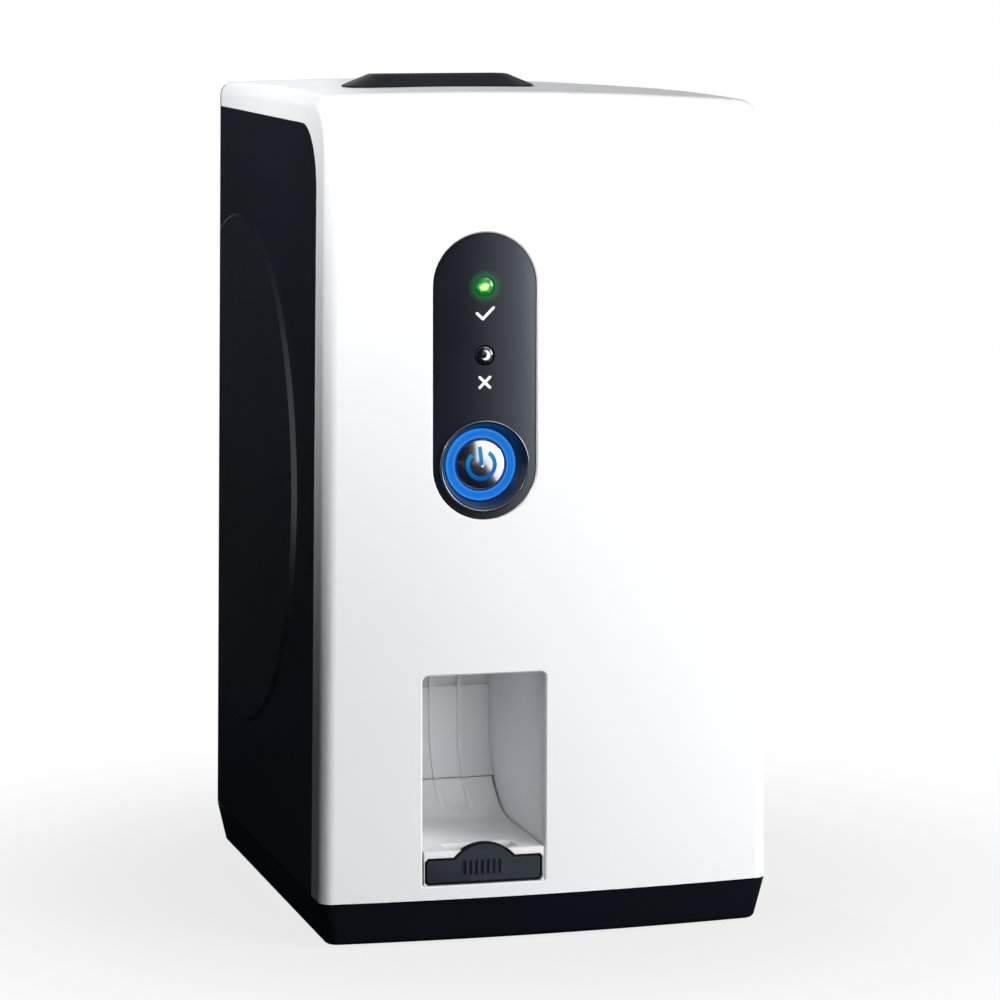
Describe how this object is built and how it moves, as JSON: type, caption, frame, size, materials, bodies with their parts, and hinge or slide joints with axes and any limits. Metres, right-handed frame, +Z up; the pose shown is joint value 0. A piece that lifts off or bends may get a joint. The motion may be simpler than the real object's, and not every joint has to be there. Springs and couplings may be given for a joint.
{
  "type": "phosphor plate scanner",
  "caption": "Desktop scanner for intra-oral phosphor plates: plate slot on top, control panel with power button, and a collecting bin with a pull-out tray.",
  "frame": {"origin": "middle of the footprint, at the height of the surface that the rubber feet stand on", "axes": "+Z up, -Y out of the bowed front with the control panel, +X to the right for someone facing the front"},
  "size_m": [0.1656, 0.1824, 0.3036],
  "materials": {
    "shell_white": "satin",
    "panel_black": "satin",
    "skirt_black": "gloss",
    "liner_grey": "matte",
    "tray_white": "matte",
    "handle_grey": "satin",
    "inner_plastic": "matte",
    "lens_green": "gloss",
    "lens_clear": "gloss",
    "ring_blue": "lit",
    "bright_metal": "polished",
    "brushed_metal": "brushed",
    "steel": "plated",
    "aluminium": "milled",
    "brass": "turned",
    "rubber": "matte",
    "felt": "brushed",
    "acetal": "satin",
    "board_green": "satin",
    "optical_glass": "polished",
    "mirror_face": "polished"
  },
  "bodies": {
    "housing": {"front_shell": "shell_white", "left_side_panel": "panel_black", "right_side_panel": "panel_black", "base_pan": "skirt_black", "rear_cover": "panel_black", "rubber_feet": "rubber", "base_screws": "steel", "cover_screws": "steel", "frame_screws": "steel", "board_screws": "steel", "feed_cap": "panel_black", "slot_brushes": "felt", "feed_guide": "inner_plastic", "control_panel": "panel_black", "ready_lens": "lens_green", "error_lens": "lens_clear", "button_bezel": "bright_metal", "button_ring": "ring_blue", "button_switch": "inner_plastic", "front_board": "board_green", "bin_liner": "liner_grey", "frame_plate_left": "steel", "frame_plate_right": "steel", "cross_bars": "steel", "roller_bushes": "brass", "roller_springs": "steel", "gear_posts": "steel", "stepper_motor": "steel", "path_guide_front": "inner_plastic", "path_guide_rear": "inner_plastic", "optics_bench": "aluminium", "laser_module": "brass", "laser_holder": "inner_plastic", "polygon_motor": "board_green", "scan_lens": "optical_glass", "light_guide": "optical_glass", "photomultiplier": "optical_glass", "tube_shield": "steel", "eraser_board": "board_green", "main_board": "board_green", "supply_module": "steel", "data_socket": "inner_plastic", "power_inlet": "inner_plastic"},
    "button": {"button_cap": "brushed_metal"},
    "tray": {"plate_tray": "tray_white", "tray_handle": "handle_grey"},
    "drive_1": {"drive_roller_1": "rubber", "roller_gear_1": "acetal"},
    "drive_2": {"drive_roller_2": "rubber", "roller_gear_2": "acetal"},
    "drive_3": {"drive_roller_3": "rubber", "roller_gear_3": "acetal"},
    "idler_1": {"idler_roller_1": "rubber"},
    "idler_2": {"idler_roller_2": "rubber"},
    "idler_3": {"idler_roller_3": "rubber"},
    "transfer_1": {"transfer_gear_1": "acetal"},
    "transfer_2": {"transfer_gear_2": "acetal"},
    "pinion": {"motor_pinion": "brass"},
    "mirror": {"polygon_mirror": "mirror_face"}
  },
  "joints": [
    {"name": "tray_slide", "type": "slide", "parent": "housing", "child": "tray", "axis": [0, -1, 0], "range_m": [0, 0.05]},
    {"name": "button_press", "type": "slide", "parent": "housing", "child": "button", "axis": [0, 1, 0], "range_m": [0, 0.001], "stiffness_N_per_m": 800, "springref_m": -0.0015},
    {"name": "drive_1_spin", "type": "hinge", "parent": "housing", "child": "drive_1", "pos_m": [-0.0242, -0.0195, 0.195], "axis": [1, 0, 0], "continuous": true},
    {"name": "drive_2_spin", "type": "hinge", "parent": "housing", "child": "drive_2", "pos_m": [-0.0242, -0.0195, 0.165], "axis": [1, 0, 0], "continuous": true},
    {"name": "drive_3_spin", "type": "hinge", "parent": "housing", "child": "drive_3", "pos_m": [-0.0242, -0.0195, 0.135], "axis": [1, 0, 0], "continuous": true},
    {"name": "idler_1_spin", "type": "hinge", "parent": "housing", "child": "idler_1", "pos_m": [-0.0242, -0.0325, 0.195], "axis": [1, 0, 0], "continuous": true},
    {"name": "idler_2_spin", "type": "hinge", "parent": "housing", "child": "idler_2", "pos_m": [-0.0242, -0.0325, 0.165], "axis": [1, 0, 0], "continuous": true},
    {"name": "idler_3_spin", "type": "hinge", "parent": "housing", "child": "idler_3", "pos_m": [-0.0242, -0.0325, 0.135], "axis": [1, 0, 0], "continuous": true},
    {"name": "transfer_1_spin", "type": "hinge", "parent": "housing", "child": "transfer_1", "pos_m": [-0.0242, -0.00627, 0.18], "axis": [1, 0, 0], "continuous": true},
    {"name": "transfer_2_spin", "type": "hinge", "parent": "housing", "child": "transfer_2", "pos_m": [-0.0242, -0.00627, 0.15], "axis": [1, 0, 0], "continuous": true},
    {"name": "pinion_spin", "type": "hinge", "parent": "housing", "child": "pinion", "pos_m": [-0.0242, 0.01017, 0.14402], "axis": [1, 0, 0], "continuous": true},
    {"name": "mirror_spin", "type": "hinge", "parent": "housing", "child": "mirror", "pos_m": [-0.0157, 0.0605, 0.18], "axis": [0, 0, 1], "continuous": true}
  ],
  "couplings": [
    {"joint": "drive_2_spin", "follows": "drive_1_spin", "ratio": 1},
    {"joint": "drive_3_spin", "follows": "drive_1_spin", "ratio": 1},
    {"joint": "idler_1_spin", "follows": "drive_1_spin", "ratio": -1},
    {"joint": "idler_2_spin", "follows": "drive_1_spin", "ratio": -1},
    {"joint": "idler_3_spin", "follows": "drive_1_spin", "ratio": -1},
    {"joint": "transfer_1_spin", "follows": "drive_1_spin", "ratio": -1},
    {"joint": "transfer_2_spin", "follows": "drive_1_spin", "ratio": -1},
    {"joint": "pinion_spin", "follows": "drive_1_spin", "ratio": 1.3333}
  ]
}
